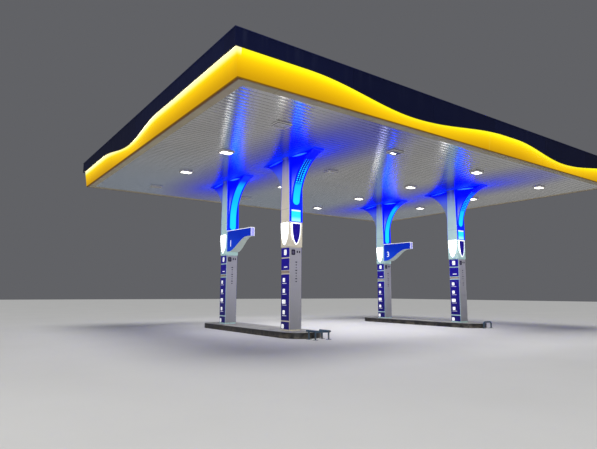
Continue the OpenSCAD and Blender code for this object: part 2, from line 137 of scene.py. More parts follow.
class Field:
    """A value that varies over a surface, with Python's operators as Math nodes."""

    def __init__(self, finish, socket):
        self.finish = finish
        self.socket = socket

    def math(self, operation, *values):
        return self.finish.node("ShaderNodeMath", {"operation": operation}, dict(enumerate(values)))

    __add__, __radd__ = math_node("ADD"), math_node("ADD", swapped=True)
    __sub__, __rsub__ = math_node("SUBTRACT"), math_node("SUBTRACT", swapped=True)
    __mul__, __rmul__ = math_node("MULTIPLY"), math_node("MULTIPLY", swapped=True)
    __truediv__ = math_node("DIVIDE")
    __pow__ = math_node("POWER")
    __mod__ = math_node("FLOORED_MODULO")
    __gt__ = math_node("GREATER_THAN")
    __lt__ = math_node("LESS_THAN")
    least = math_node("MINIMUM")
    most = math_node("MAXIMUM")

    def __abs__(self):
        return self.math("ABSOLUTE", self)

    def fade(self, reach):
        """1 at zero, falling away as the value grows past the reach."""
        return self.math("EXPONENT", self * (-1 / reach))

    def rise(self, low, high):
        """A smooth step from 0 at the low value to 1 at the high one."""
        values = {"Value": self, "From Min": low, "From Max": high}
        return self.finish.node("ShaderNodeMapRange", {"interpolation_type": "SMOOTHSTEP"}, values)

    def line(self, place, width):
        """1 within half a width of a place, and 0 elsewhere."""
        return abs(self - place) < width / 2


class Finish:
    """A material in the making: its Principled shader, and the nodes that feed it."""

    def __init__(self, name):
        self.material = bpy.data.materials.new(name)
        self.material.use_nodes = True
        self.tree = self.material.node_tree
        self.shader = self.tree.nodes["Principled BSDF"]
        self.place = self.node("ShaderNodeTexCoord", out="Object")
        self.x, self.y, self.z = self.parts(self.place)

    def node(self, kind, settings=None, values=None, out=0):
        made = self.tree.nodes.new(kind)
        for name, value in (settings or {}).items():
            if name == "stops":
                self.set_stops(made.color_ramp.elements, value)
            else:
                setattr(made, name, value)
        for key, value in (values or {}).items():
            self.feed(self.pick(made.inputs, key), value)
        return Field(self, self.pick(made.outputs, out))

    @staticmethod
    def set_stops(elements, stops):
        elements.remove(elements[1])
        elements[0].color = rgb(*stops[0][1:])
        for place, *colour in stops[1:]:
            elements.new(place).color = rgb(*colour)

    @staticmethod
    def pick(sockets, key):
        if isinstance(key, int):
            return sockets[key]
        return next(s for s in sockets if key in (s.identifier, s.name))

    def feed(self, socket, value):
        """Links or sets a socket. Colours of three parts are display values, and those of four linear."""
        if isinstance(value, Field):
            self.tree.links.new(value.socket, socket)
        elif socket.type == "RGBA" and len(value) == 3:
            socket.default_value = rgb(*value)
        else:
            socket.default_value = value

    def parts(self, vector):
        split = self.node("ShaderNodeSeparateXYZ", values={"Vector": vector}).socket.node
        return [Field(self, socket) for socket in split.outputs]

    def facing(self):
        """The three parts of the surface's direction."""
        return self.parts(self.node("ShaderNodeNewGeometry", out="True Normal"))

    def attribute(self, name):
        return self.node("ShaderNodeAttribute", {"attribute_name": name}, out="Fac")

    def vector(self, operation, *values):
        """A Vector Math node, for colours too."""
        return self.node("ShaderNodeVectorMath", {"operation": operation}, dict(enumerate(values)))

    def noise(self, scale, detail=3.0, rough=0.55, stretch=None):
        vector = self.vector("MULTIPLY", self.place, stretch) if stretch else self.place
        values = {"Vector": vector, "Scale": scale, "Detail": detail, "Roughness": rough}
        return self.node("ShaderNodeTexNoise", values=values)

    def mix(self, factor, first, second):
        """A colour from the first at 0 to the second at 1."""
        values = {"Factor_Float": factor, "A_Color": first, "B_Color": second}
        return self.node("ShaderNodeMix", {"data_type": "RGBA"}, values, "Result_Color")

    def ramp(self, factor, stops):
        """Colours along a factor, from stops of a place and three display values, the first at 0."""
        return self.node("ShaderNodeValToRGB", {"stops": stops}, {"Fac": factor})

    def leaning(self, slope):
        """The direction of a face that looks down, turned towards +Y by a slope."""
        upright = self.node("ShaderNodeNewGeometry", out="Normal")
        lean = self.node("ShaderNodeCombineXYZ", values={"Y": slope})
        return self.vector("NORMALIZE", self.vector("ADD", upright, lean))

    def bump(self, height, depth, strength=1.0):
        values = {"Height": height, "Distance": depth, "Strength": strength}
        return self.node("ShaderNodeBump", values=values, out="Normal")

    def done(self, colour, roughness, glow=None, **sockets):
        """Sets the colour, the roughness, a glow's colour and strength, and more sockets by name."""
        sockets.update(Base_Color=colour, Roughness=roughness)
        if glow:
            sockets["Emission_Color"], sockets["Emission_Strength"] = glow
        for name, value in sockets.items():
            self.feed(self.shader.inputs[name.replace("_", " ")], value)
        return self.material


def rgb(red, green, blue):
    """A linear colour from display values of 0 to 255."""
    parts = [v / 255 for v in (red, green, blue)]
    return tuple(v / 12.92 if v <= 0.04045 else ((v + 0.055) / 1.055) ** 2.4 for v in parts) + (1.0,)


def shaded(colour, factor):
    """A colour from display values, made darker or lighter."""
    return tuple(min(1, v * factor) for v in rgb(*colour)[:3]) + (1.0,)


def hot(red, green, blue, times=1.0):
    """The colour of a lens that glows at LENS_STRENGTH: as seen, with more blue than shows."""
    red, green, blue, _ = rgb(red, green, blue)
    return (red / LENS_STRENGTH, green / LENS_STRENGTH, blue * times, 1.0)


BLACK = (0, 0, 0, 1)


def off(value, place):
    """How far a value is from a place, or from that place mirrored at zero."""
    return abs(abs(value) - place)


def from_cove(f):
    """How far a place is from the nearest light bar beside a bracket's head."""
    beside = (off(f.x, COLUMN_X) - FIN_W / 2) * WASH_ACROSS
    along = (abs(off(f.y, COLUMN_Y) - COVE_MIDDLE) - COVE_HALF) * WASH_ALONG
    below = abs(f.z - CEILING_Z + COVE_DEPTH)
    return (beside.most(0) ** 2 + along.most(0) ** 2 + below ** 2) ** 0.5


def far_side(f):
    """1 on the side of each column that looks towards +Y."""
    return (f.y > COLUMN_Y).most((f.y < 0) * (f.y > -COLUMN_Y))


def painted(name, colour, roughness, **constants):
    """Plain paint or coating: a faint mottle in colour and gloss, and a fine orange peel."""
    f = Finish(name)
    cloud = f.noise(1.6, 4)
    return f.done(
        f.mix(cloud.rise(0.35, 0.65), shaded(colour, 1 - 0.06), shaded(colour, 1 + 0.06)),
        roughness + 0.12 * (cloud - 0.5),
        Normal=f.bump(f.noise(260, 2), 0.00006),
        **constants,
    )


def navy_panel():
    """Dark blue composite sheet, satin, with faint vertical streaks of dust under the capping."""
    f = Finish("navy_panel")
    streak = f.noise(1.0, 4, stretch=(7, 7, 0.5))
    dusty = streak.rise(0.52, 0.75) * f.z.rise(CEILING_Z + 0.4, FASCIA_TOP)
    tone = f.mix(f.attribute("sheet"), (13, 17, 46), (18, 24, 59))
    return f.done(
        f.mix(dusty * 0.3, tone, (46, 52, 78)),
        0.5 + dusty * 0.2,
        Specular_IOR_Level=0.1,
        Normal=f.bump(f.noise(3.0, 2), 0.0008),
    )


def lit_yellow():
    """Yellow sheet lit from behind the fascia: bright at the top, golden below, with a brown line of painted
    shadow at the foot.
    """
    f = Finish("lit_yellow")
    below = f.attribute("below")
    glow = f.ramp(below, [
        (0.0, 255, 255, 30), (0.08, 255, 250, 9), (0.14, 254, 228, 8),
        (0.2, 250, 208, 8), (0.27, 243, 194, 9), (0.35, 231, 181, 8),
        (0.45, 217, 166, 8), (0.55, 203, 153, 8), (0.66, 190, 142, 8),
    ])
    # The short sides are lit so strongly that they turn pale
    overlit = (0.16 - below).rise(0, 0.16) * (abs(f.x) > HALF_L - 0.05)
    glow = f.mix(overlit * 0.75, glow, (255, 255, 225))
    # A thin brown line of painted shadow where the band meets the border
    foot = (CEILING_Z + 0.035 - f.z).rise(0, 0.02)
    glow = f.mix(foot, glow, (96, 68, 18))
    seam = (f.y < -HALF_W) * f.x.line(0.1, 0.03)
    glow = f.mix(seam * 0.15, glow, (255, 244, 90))
    nx, ny, _ = f.facing()
    back = (nx * f.x + ny * f.y) < -0.5
    glow = f.mix(back, glow, BLACK)
    shade = f.attribute("sheet") * 0.5 + f.noise(2.5, 3) * 0.3
    return f.done(
        (90, 66, 2),
        0.5,
        Specular_IOR_Level=0.06,
        glow=(f.mix(shade * 0.08, glow, BLACK), 1.0),
        Normal=f.bump(f.noise(9, 2), 0.0006),
    )


def glowing(name, colour, strength):
    """An opal cover with light behind it, a little uneven where the lamps sit."""
    f = Finish(name)
    cloud = f.noise(6, 2)
    return f.done(
        (0.8, 0.8, 0.8, 1),
        0.3 + 0.1 * (cloud - 0.5),
        glow=(f.mix(cloud.rise(0.4, 0.6), shaded(colour, 0.88), colour), strength),
    )


def border_white():
    """Smooth off-white border sheets with fine butt seams that glow with painted light, with a dark brown
    strip of painted shadow and a painted reflection of the band's light along the foot of the lit band.
    """
    f = Finish("border_white")
    seam = ((f.x + 0.27) % SHEET_L).line(1.5, 0.008) * (abs(f.y) > HALF_W - 0.3)
    seam = seam.most(((f.y + 0.4) % SHEET_L).line(1.5, 0.008) * (abs(f.x) > HALF_L - 0.3))
    edge = (HALF_L - abs(f.x)).least(HALF_W - abs(f.y))
    # Along the foot of the lit band: a dark brown strip of painted shadow with a painted reflection of the
    # band's light, fainter on the front and back
    warm_painted_light = 1 - edge.rise(0.05, 0.10)
    warm_painted_light = warm_painted_light * (0.35 + 0.65 * (abs(f.x) > HALF_L - 0.15))
    cloud = f.noise(1.1, 4)
    tone = f.mix(cloud.rise(0.35, 0.7), (140, 131, 108), (154, 146, 122))
    # The border glows with painted light, dimmer on the front and back
    glow = f.mix(cloud, (74, 66, 50), (84, 77, 60))
    glow = f.mix((abs(f.y) > HALF_W - 0.5) * 0.6, glow, BLACK)
    return f.done(
        f.mix(seam.most(warm_painted_light), tone, (64, 44, 24)),
        0.4 + 0.15 * (cloud - 0.5),
        Specular_IOR_Level=0.15,
        glow=(f.mix(warm_painted_light, glow, (92, 62, 30)), 0.6),
        Normal=f.bump(1 - seam, 0.002),
    )


def ceiling_white():
    """Glossy roll-formed panels whose joints are painted dark as shade, in painted blue light round the heads
    of the brackets.
    """
    f = Finish("ceiling_white")
    d = from_cove(f)
    # Painted blue light round the light bars: there the panels are deep blue, not metallic, and glow blue
    away = d.rise(0.7, 3.4)
    # The turned-up edges of the panels in the joints are painted dark, as shade in the gaps
    joint = f.z > CEILING_Z + PANEL_CROWN + 0.0005
    low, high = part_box("ceiling")
    across = ((f.y - low.y) / ((high.y - low.y) / PANEL_COUNT)) % 1
    cloud = f.noise(0.5, 4)
    grey = f.mix(cloud.rise(0.35, 0.65), (176, 174, 171), (186, 184, 181))
    grey = f.mix(f.y.rise(-2.5, 5), grey, (160, 176, 196))
    # The painted blue glow, fading away from the bars
    glow = f.mix((d - 0.3).most(0).fade(0.7), BLACK, (0.002, 0.022, 0.56, 1))
    return f.done(
        f.mix(joint, f.mix(away, (0, 2, 186), grey), (60, 60, 66)),
        0.17 + 0.03 * (cloud - 0.5) + joint * 0.4,
        Metallic=(1 - joint) * d.rise(0.2, 1.3),
        Specular_IOR_Level=0.05,
        Anisotropic=0.85,
        Normal=f.leaning(PANEL_LEAN + PANEL_CURL * (across - 0.5)),
        glow=(f.mix(joint, glow, BLACK), 1.0),
    )


def cove_glow():
    """The blue light bars, brightest in the middle, and dim on the far side of the columns."""
    f = Finish("cove_light")
    middle = abs(off(f.y, COLUMN_Y) - COVE_MIDDLE)
    glow = f.mix(middle.rise(0.15, 0.4), (0.0004, 0.0025, 1, 1), (0.0001, 0.001, 0.25, 1))
    return f.done(
        (40, 120, 255),
        0.3,
        glow=(f.mix(far_side(f) * 0.85, glow, BLACK), 70.0),
    )


def lamp_rim():
    """The light grey body of a lamp that glows with painted light, dimmer on its bevelled sides as painted
    shade, with a dark band round their foot that is partly seal, partly painted shade.
    """
    f = Finish("lamp_frame")
    *_, nz = f.facing()
    # A dark band round the foot of the sides: partly a seal, partly painted shade
    gasket = (nz > -0.9) * (f.z < CEILING_Z - 0.022)
    return f.done(
        f.mix(gasket, (176, 174, 172), (26, 24, 28)),
        0.4 + 0.1 * (f.noise(8, 3) - 0.5),
        # The body glows with painted light, dimmer on the bevelled sides as painted shade
        glow=(f.mix(gasket, f.mix(nz > -0.9, (80, 79, 77), (112, 110, 110)), BLACK), 0.5),
    )


def lit_glass():
    """The opal cover of a lit lamp. One lamp is failing: only a patch of its cover still glows."""
    f = Finish("lamp_lens_on")
    cloud = f.noise(6, 2)
    i, j = FAILING
    failing = f.x.line(i * LAMP_X, 0.5) * f.y.line(j * LAMP_Y, 0.5)
    patch = f.x.line(i * LAMP_X - 0.02, 0.2) * f.y.line(j * LAMP_Y + 0.06, 0.1)
    out = failing * (1 - patch)
    glow = f.mix(cloud.rise(0.4, 0.6), (240, 238, 227), (255, 252, 240))
    return f.done(
        f.mix(out, (0.8, 0.8, 0.8, 1), (14, 18, 50)),
        0.3 + 0.1 * (cloud - 0.5) + out * 0.5,
        glow=(f.mix(out, glow, (10, 14, 34)), 7.0),
    )


def unlit_glass():
    """The clear, dusty cover of a lamp that is off, with its reflector showing grey behind."""
    f = Finish("lamp_lens_off")
    flute = abs(f.x % 0.02 - 0.01) * 60
    return f.done(
        f.mix(f.noise(14, 3), (132, 130, 132), (164, 162, 164)),
        0.16 + f.noise(30, 2) * 0.2,
        Coat_Weight=0.6,
        Coat_Roughness=0.08,
        Normal=f.bump(flute, 0.0008),
    )


def steel_paint():
    """Grey primer on rolled steel, with darker handling marks."""
    f = Finish("roof_steel")
    marks = f.noise(3.2, 6, 0.7).rise(0.52, 0.72)
    return f.done(
        f.mix(marks, (128, 132, 138), (96, 96, 98)),
        0.5 + marks * 0.2,
        Metallic=0.15,
        Normal=f.bump(f.noise(120, 3), 0.0004),
    )


def sheet_coat():
    """Pale coated roof sheet, with rain streaks down the slope and dirt by the gutter."""
    f = Finish("roof_sheet")
    streak = f.noise(1.0, 5, stretch=(9, 0.35, 1))
    gathered = (1.9 - abs(f.y)).rise(0, 1.7) * f.noise(2.0, 5).rise(0.3, 0.7)
    dirt = streak.rise(0.45, 0.72) * 0.5 + gathered * 0.6
    return f.done(
        f.mix(dirt.least(1), (178, 186, 196), (122, 118, 108)),
        0.36 + dirt * 0.3,
        Metallic=0.25,
        Normal=f.bump(f.noise(40, 2), 0.0003),
    )


def galvanised():
    """Zinc with its spangle, dull and stained in long patches."""
    f = Finish("gutter_steel")
    spangle = f.node("ShaderNodeTexVoronoi", values={"Vector": f.place, "Scale": 55.0}, out="Distance")
    stain = f.noise(2.4, 5, stretch=(0.3, 2, 2)).rise(0.45, 0.7)
    bright = f.mix(spangle, (150, 154, 158), (186, 190, 194))
    return f.done(
        f.mix(stain * 0.7, bright, (104, 96, 84)),
        0.42 + stain * 0.25,
        Metallic=0.6,
    )


def column_white():
    """Satin white cladding in painted light, warmer on column 2 and teal on the others, turning blue under
    the ceiling in painted blue light with a painted blue reflection near the top, and scuffed at the foot.
    """
    f = Finish("column_white")
    d = from_cove(f)
    lower, upper = SHAFT_JOINTS
    joint = f.z.line(upper, 0.006).most(f.z.line(lower, 0.008))
    cloud = f.noise(1.7, 4)
    scuff = (0.9 - f.z).rise(0, 0.7) * f.noise(9, 5, 0.7, (1, 1, 0.5)).rise(0.5, 0.66)
    # Painted light of two colours: warmer on column 2, teal on the other columns
    warm_painted_light = (f.x < 0) * (f.y < 0)
    white = f.mix(warm_painted_light, (180, 208, 205), (203, 195, 178))
    white = f.mix(cloud.rise(0.35, 0.65) * 0.12, white, (120, 126, 122))
    white = f.mix(scuff * 0.6, white, (120, 118, 112))
    # Painted blue light from the light bars, in colour and glow under the ceiling
    painted_blue_light = (d.fade(0.5) * 1.35).least(1)
    # A painted blue reflection up the middle of the faces that look along the roof, near the top
    middle = off(f.y, COLUMN_Y).line(0, 0.12) * f.z.rise(4.9, 5.4)
    # The cladding glows with painted light
    glow = f.mix(warm_painted_light, (98, 124, 124), (118, 114, 102))
    glow = f.mix(painted_blue_light, glow, (18, 24, 150))
    return f.done(
        f.mix(joint, f.mix(painted_blue_light, white, (34, 44, 116)), (80, 82, 84)),
        0.34 + 0.15 * (cloud - 0.5) + scuff * 0.2,
        glow=(f.mix(middle * 0.3, glow, (70, 80, 200)), 0.8),
        Normal=f.bump(1 - joint, 0.003),
    )


def bracket_blue():
    """Blue cladding on the plates and the curve, and pale sides that turn deep blue at the top in painted
    light from the bars; all of it glows with painted light, less on the far side, where the sides are also
    darker.
    """
    f = Finish("bracket_blue")
    nx, *_ = f.facing()
    out = off(f.y, COLUMN_Y)
    side = (abs(nx) > 0.7) * (out > SHAFT_D / 2 + PLATE + 0.004)
    lip = (f.z > CEILING_Z - 0.031) * (out > 1.4)
    d = from_cove(f)
    cloud = f.noise(2.0, 3)
    far = far_side(f)
    down = d + far * 0.25
    # Painted blue light from the bars on the sides: deep blue near them, lavender further down, and a lighter
    # blue on the far side in between
    pale = f.mix(down.rise(0.5, 1.2), f.mix(far, (38, 58, 200), (80, 104, 224)), (124, 140, 186))
    pale = f.mix(down.rise(0.25, 0.75), (1, 5, 214), pale)
    # The plates and the curve turn a deeper blue towards the ceiling
    front = f.mix(f.z.rise(4.2, 5.6), (10, 40, 186), (2, 10, 196))
    body = f.mix(lip, f.mix(side, front, pale), (14, 34, 206))
    # The painted glow: bluest on the plates, the curve and the sides near the bars, and weaker on the far
    # side
    painted_glow_share = (1 - side * d.rise(0.3, 0.8)) * (1 - 0.8 * far)
    dim, rich = (f.vector("MULTIPLY", body, (0.25, 0.25, blue)) for blue in (0.25, 1))
    # The sides on the far side are painted darker, so that the bars' light shows less on them
    return f.done(
        f.mix(side * far * 0.8, f.mix(cloud * 0.2, body, (6, 30, 206)), BLACK),
        0.36 + 0.1 * (cloud - 0.5),
        Specular_IOR_Level=0.03,
        glow=(f.mix(painted_glow_share, dim, rich), 2.4),
        Normal=f.bump(f.noise(160, 2), 0.0001),
    )


def arc_lens():
    """Opal strip: cyan low down, dark between the light modules, and deep blue towards the tip."""
    f = Finish("arc_light")
    up = f.attribute("rise")
    across = f.attribute("across")
    cyan = f.mix(up.rise(0.0, 0.4), hot(30, 228, 252), hot(14, 190, 246))
    stripe = f.mix(up.rise(0.46, 0.58), cyan, hot(4, 90, 240, 0.15))
    gap = f.mix(across.rise(0.66, 0.76), hot(2, 26, 120, 0.14), stripe)
    plain = f.mix(up.rise(0.55, 0.74), cyan, hot(8, 50, 230, 0.3))
    beaded = f.mix(up.rise(0.24, 0.32), cyan, gap)
    beaded = f.mix(up.rise(0.6, 0.72), beaded, hot(2, 12, 216, 0.2))
    glow = f.mix(f.attribute("beaded"), plain, beaded)
    return f.done(
        (3, 16, 90),
        0.4 + f.noise(20, 2) * 0.1,
        Specular_IOR_Level=0.02,
        glow=(f.mix(abs(across).rise(0.86, 1.0) * 0.5, glow, hot(8, 50, 225, 0.2)), LENS_STRENGTH),
    )


def module_glow():
    """The domes of the light modules: cyan low down on the curve, and blue near the ceiling."""
    f = Finish("light_module")
    return f.done(
        (6, 60, 110),
        0.2 + f.noise(20, 2) * 0.1,
        Specular_IOR_Level=0.1,
        glow=(f.mix(f.z.rise(5.2, 5.8), hot(20, 225, 255, 0.4), hot(4, 90, 240, 0.3)), 2 * LENS_STRENGTH),
    )


def window_glow():
    """A lit window: a white line at the top, cyan below it, and near white at the foot."""
    f = Finish("glow_panel")
    glow = f.mix(f.z.rise(3.76, 3.9), (160, 250, 255), (34, 236, 252))
    glow = f.mix(f.z.rise(4.055, 4.07), glow, (250, 255, 255))
    edge = off(f.x, COLUMN_X).rise(0.165, 0.19)
    return f.done(
        (30, 90, 120),
        0.2 + f.noise(12, 2) * 0.08,
        glow=(f.mix(edge * 0.6, glow, (20, 120, 250)), 1.0),
    )


def shield_white():
    """A white light box: bright along the roof, dimmer along the lanes, with dull returns."""
    f = Finish("shield_sign")
    nx, ny, _ = f.facing()
    level = (f.z - SHIELD_Z) / SHIELD_H
    face = f.mix(level.rise(0.0, 0.25), (226, 240, 246), (255, 255, 255))
    face = f.mix(abs(ny) > 0.95, face, (150, 154, 156))
    facing_out = (abs(nx) > 0.95).most(abs(ny) > 0.95)
    return f.done(
        (235, 238, 240),
        0.25 + f.noise(10, 2) * 0.1,
        glow=(f.mix(facing_out, (66, 70, 74), face), 4.0),
    )


def printed(name, colour, second, glow, strength):
    """A printed panel in painted light from above, its colour and glow duller towards the foot, with faint
    scratches.
    """
    f = Finish(name)
    scratch = f.noise(70, 2, 0.6, (1, 1, 0.06)).rise(0.66, 0.72)
    # Painted light from above, fading towards the foot in colour and glow
    fade = f.z.rise(0.2, 2.8)
    return f.done(
        f.mix(scratch * 0.3, f.mix(fade, second, colour), (190, 190, 200)),
        0.3 + scratch * 0.3 + f.noise(4, 3) * 0.08,
        Specular_IOR_Level=0.2,
        glow=(f.mix(fade, shaded(glow, 0.5), glow), strength),
    )


def flag_blue():
    """A sign box: blue sides, lighter near the column, a lavender end and a grey underside."""
    f = Finish("flag_blue")
    _, ny, nz = f.facing()
    under, end = nz < -0.2, ny < -0.9
    out = COLUMN_Y - SHAFT_D / 2 - f.y
    low = ((3.7 - f.z) * 1.3 + (0.7 - out) * 0.4).rise(0.0, 1.0)
    side = f.mix(low, (5, 38, 160), (14, 56, 180))
    body = f.mix(under, f.mix(end, side, (150, 150, 210)), (140, 150, 148))
    return f.done(
        body,
        0.3 + f.noise(8, 3) * 0.1,
        Specular_IOR_Level=0.12,
        glow=(body, 0.6),
        Normal=f.bump(f.noise(180, 2), 0.00008),
    )


def concrete():
    """Trowelled concrete: cloudy greys, pores, sawn joints and darker worn patches."""
    f = Finish("island_concrete")
    cloud = f.noise(1.3, 6, 0.6)
    grain = f.noise(90, 4, 0.7)
    stain = f.noise(3.5, 5, 0.65).rise(0.55, 0.7)
    joint = (f.y % 1.8).line(0.9, 0.008)
    tone = f.mix(cloud.rise(0.3, 0.7), (136, 136, 134), (172, 171, 167))
    tone = f.mix(stain * 0.5, tone, (92, 90, 86))
    return f.done(
        f.mix(joint, f.mix(grain * 0.3, tone, (120, 120, 118)), (60, 60, 58)),
        0.78 + 0.15 * (grain - 0.5),
        Normal=f.bump(grain * 0.6 + (1 - joint), 0.003, 0.7),
    )


def worn_paint(name, colour, bare, scale=7.0):
    """Painted steel with chips along its length, dust low down and a faint gloss."""
    f = Finish(name)
    chips = f.noise(scale, 7, 0.75).rise(0.6, 0.64)
    dust = (0.22 - f.z).rise(0, 0.2) * f.noise(5, 4).rise(0.35, 0.7)
    tone = f.mix(f.noise(2.0, 3), colour, shaded(colour, 1.25))
    return f.done(
        f.mix(dust * 0.6, f.mix(chips, tone, bare), (120, 112, 100)),
        0.36 + chips * 0.3 + dust * 0.3,
        Metallic=0.1,
        Normal=f.bump(1 - chips, 0.0006),
    )


def wave_height(stations, t):
    """Height of the fascia's lower edge above the ceiling, eased between the stations of its wave."""
    for (a, low), (b, high) in zip(stations, stations[1:]):
        if t <= b:
            ease = (1 - cos(pi * (t - a) / (b - a))) / 2
            return DIP + (CREST - DIP) * (low + (high - low) * ease)
    return CREST


class Side:
    """One side of the roof, drawn as seen from outside with places along it from left to right."""

    def __init__(self, name, turn):
        self.name = name
        self.turn = Matrix.Rotation(radians(90 * turn), 3, "Z")
        if turn % 2:
            self.half, self.depth, self.wave = HALF_W, HALF_L, SHORT_WAVE
        else:
            self.half, self.depth, self.wave = HALF_L, HALF_W, LONG_WAVE
        self.fascia_reach = self.half + (FASCIA_IN if turn % 2 else FASCIA_OUT)

    def point(self, along, out, z):
        return self.turn @ Vector((along, -self.depth - out, z))

    def edge(self, along):
        t = min(1, max(0, along / self.half / 2 + 0.5))
        return CEILING_Z + wave_height(self.wave, t)


SIDES = [Side(name, turn) for turn, name in enumerate(("front", "right", "back", "left"))]


def placed(name, data):
    """Puts data into the scene as an object."""
    made = bpy.data.objects.new(name, data)
    scene.collection.objects.link(made)
    return made


def as_mesh(name, shape):
    """Turns a finished bmesh into a mesh."""
    mesh = bpy.data.meshes.new(name)
    shape.to_mesh(mesh)
    shape.free()
    return mesh


def make_piece(name, shape, material, slot, *stands_for, sharp=35):
    """Turns a finished bmesh into a smooth piece with sharp edges, which rides on the part."""
    bmesh.ops.recalc_face_normals(shape, faces=shape.faces)
    mesh = as_mesh(name, shape)
    mesh.shade_smooth()
    mesh.set_sharp_from_angle(angle=radians(sharp))
    mesh.materials.append(material)
    piece = placed(name, mesh)
    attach(piece, "root")
    if stands_for:
        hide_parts(*stands_for)
    return piece


def rounded(piece, width):
    """Rounds the sharp edges of a piece."""
    bevel = piece.modifiers.new("edges", "BEVEL")
    bevel.width = width
    bevel.segments = 2
    bevel.limit_method = "ANGLE"
    bevel.angle_limit = radians(40)
    bevel.harden_normals = True
    return piece


def loft(shape, rings):
    """A closed skin over a row of rings, capped at both ends. Gives the rings' vertices."""
    made = [[shape.verts.new(p) for p in ring] for ring in rings]
    for a, b in zip(made, made[1:]):
        for i in range(len(a)):
            j = (i + 1) % len(a)
            shape.faces.new((a[i], a[j], b[j], b[i]))
    shape.faces.new(made[0][::-1])
    shape.faces.new(made[-1])
    return made


def block(shape, low, high):
    """A box between two corners."""
    (x0, y0, z0), (x1, y1, z1) = low, high
    loft(shape, [[(x0, y0, z), (x1, y0, z), (x1, y1, z), (x0, y1, z)] for z in (z0, z1)])


def spaced(a, b, step):
    """Evenly spaced places from a to b, no further apart than the step."""
    count = max(1, ceil(abs(b - a) / step - 1e-6))
    return [a + (b - a) * i / count for i in range(count + 1)]


def circle(count):
    """Cosine and sine of evenly spaced angles."""
    angles = [2 * pi * k / count for k in range(count)]
    return [(cos(a), sin(a)) for a in angles]


def sheet_runs(reach):
    """Cuts a side into sheets at a regular joint, and gives the ends of each."""
    joints = [SHEET_START + SHEET_L * i for i in range(-12, 13)]
    cuts = [-reach] + [j for j in joints if abs(j) < reach - 0.3] + [reach]
    return list(zip(cuts, cuts[1:]))


def fascia_sheets(side, material):
    """The dark panels of one side, with a wavy lower edge and open joints between the sheets."""
    dice = random.Random(side.name)
    reach = side.fascia_reach
    shape = bmesh.new()
    tone = shape.verts.layers.float.new("sheet")
    for a, b in sheet_runs(reach):
        rings = []
        a_cut = a if a == -reach else a + FASCIA_GAP / 2
        b_cut = b if b == reach else b - FASCIA_GAP / 2
        for along in spaced(a_cut, b_cut, 0.1):
            low, high = side.edge(along), FASCIA_TOP
            profile = [(FASCIA_OUT, low), (FASCIA_OUT, high), (FASCIA_IN, high), (FASCIA_IN, low)]
            rings.append([side.point(along, out, z) for out, z in profile])
        value = dice.random()
        for ring in loft(shape, rings):
            for vertex in ring:
                vertex[tone] = value
    piece = make_piece("fascia_sheets_" + side.name, shape, material, "navy_panel", "fascia_" + side.name)
    return rounded(piece, 0.002)


def fascia_gaskets(material):
    """Dark strips behind the joints of the fascia."""
    half, thick = 0.02, 0.004
    shape = bmesh.new()
    for side in SIDES:
        for along, _ in sheet_runs(side.fascia_reach)[1:]:
            a, b = along - half, along + half
            corners = [(a, FASCIA_IN), (b, FASCIA_IN), (b, FASCIA_IN - thick), (a, FASCIA_IN - thick)]
            levels = (side.edge(along) + thick, FASCIA_TOP - thick)
            loft(shape, [[side.point(place, out, z) for place, out in corners] for z in levels])
    return make_piece("fascia_gaskets", shape, material, "capping_metal")


def band_sheets(side, material):
    """The lit yellow sheets of one side, mitred at the corners, with each point's depth below the light."""
    dice = random.Random("band " + side.name)
    rise = BAND_TOP - CEILING_Z
    face = [(BAND_LEAN * i / BAND_ROWS, CEILING_Z + rise * i / BAND_ROWS) for i in range(BAND_ROWS + 1)]
    # The back comes down to a flange, which turns in over the border and ends in a short foot
    flange, flange_t, foot = 0.06, 0.02, 0.01
    top, under = CEILING_Z + flange, CEILING_Z + flange - flange_t
    back = [(BAND_LEAN - BAND_THICK, BAND_TOP), (-BAND_THICK, top), (-flange, top)]
    back += [(-flange, under), (-foot, under), (-foot, CEILING_Z)]
    shape = bmesh.new()
    depth = shape.verts.layers.float.new("below")
    tone = shape.verts.layers.float.new("sheet")
    reach = side.half
    for a, b in sheet_runs(reach):
        value = dice.random()
        places = spaced(a, b, 0.12)
        if a > -reach:
            places[0] += BAND_GAP / 2
        if b < reach:
            places[-1] -= BAND_GAP / 2
        rings = []
        for along in places:
            miter = copysign(1, along) if abs(along) == reach else 0
            rings.append([side.point(along + miter * out, out, z) for out, z in face + back])
        for ring, along in zip(loft(shape, rings), places):
            edge = side.edge(along)
            # In the dips the fascia hides more of the bright top
            hidden = 0.13 * (1 - (edge - CEILING_Z - DIP) / (CREST - DIP))
            for vertex in ring:
                vertex[depth] = max(0, edge - vertex.co.z + hidden)
                vertex[tone] = value
    return make_piece("band_sheets_" + side.name, shape, material, "lit_yellow", "light_band_" + side.name)


def panel_profile(low, high, middle, half):
    """Section of a panel between two places across it: a crowned face and turned-up edges."""
    inner = [middle + half * t for t in (-0.96, -0.8, -0.5, -0.2, 0.2, 0.5, 0.8, 0.96)]
    places = [low] + [y for y in inner if low + 0.001 < y < high - 0.001] + [high]
    drop = [(y, CEILING_Z + PANEL_CROWN * ((y - middle) / half) ** 2) for y in places]
    return [(low, CEILING_Z + PANEL_UP)] + drop + [(high, CEILING_Z + PANEL_UP)]


def ceiling_cuts():
    """Rectangles of the ceiling that lamps and columns fill, as ends along X and along Y."""
    cuts = []
    for i, j in LAMP_PLACES:
        x, y = i * LAMP_X, j * LAMP_Y
        cuts.append((x - LAMP_HALF_L, x + LAMP_HALF_L, y - LAMP_HALF_W, y + LAMP_HALF_W))
    for x, y in COLUMNS.values():
        cuts.append((x - SHAFT_W / 2, x + SHAFT_W / 2, y - TOP_D / 2, y + TOP_D / 2))
    return cuts


